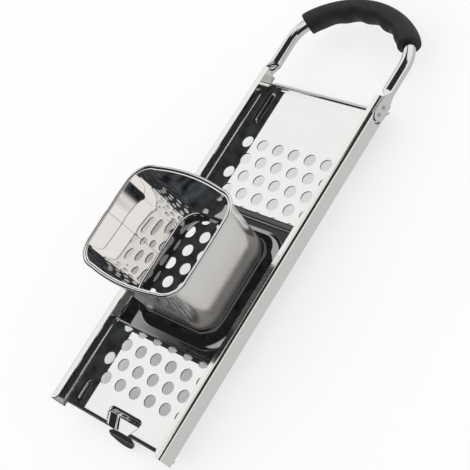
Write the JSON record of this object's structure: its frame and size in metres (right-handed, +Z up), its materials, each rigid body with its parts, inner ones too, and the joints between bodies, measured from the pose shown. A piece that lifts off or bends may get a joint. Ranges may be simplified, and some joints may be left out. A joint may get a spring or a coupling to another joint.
{
  "type": "spaetzle maker",
  "caption": "Sliding spaetzle plane: perforated steel bed between side rails, a hopper that slides along it, a bowed tube handle with a soft grip.",
  "frame": {"origin": "middle of the bed on its underside, midway between the rails and between the front and rear edges", "axes": "+X across the bed, +Y along the bed towards the handle, +Z up"},
  "size_m": [0.114, 0.3575, 0.088],
  "materials": {
    "bed_steel": "polished",
    "rail_steel": "polished",
    "tube_steel": "polished",
    "weld_steel": "dull",
    "grip_rubber": "matte",
    "sled_steel": "polished",
    "hopper_steel": "satin to polished"
  },
  "bodies": {
    "bed": {"bed_plate": "bed_steel", "front_lip": "bed_steel", "rear_hem": "bed_steel", "left_rail": "rail_steel", "right_rail": "rail_steel", "pot_hook": "bed_steel", "travel_stops": "bed_steel", "handle_tube": "tube_steel", "handle_welds": "weld_steel", "grip": "grip_rubber"},
    "sled": {"sled_tray": "sled_steel", "hopper_collar": "sled_steel", "hopper_wall": "hopper_steel", "hopper_rim": "hopper_steel"}
  },
  "joints": [
    {"name": "sled_slide", "type": "slide", "parent": "bed", "child": "sled", "axis": [0, 1, 0], "range_m": [-0.0425, 0.066]}
  ]
}
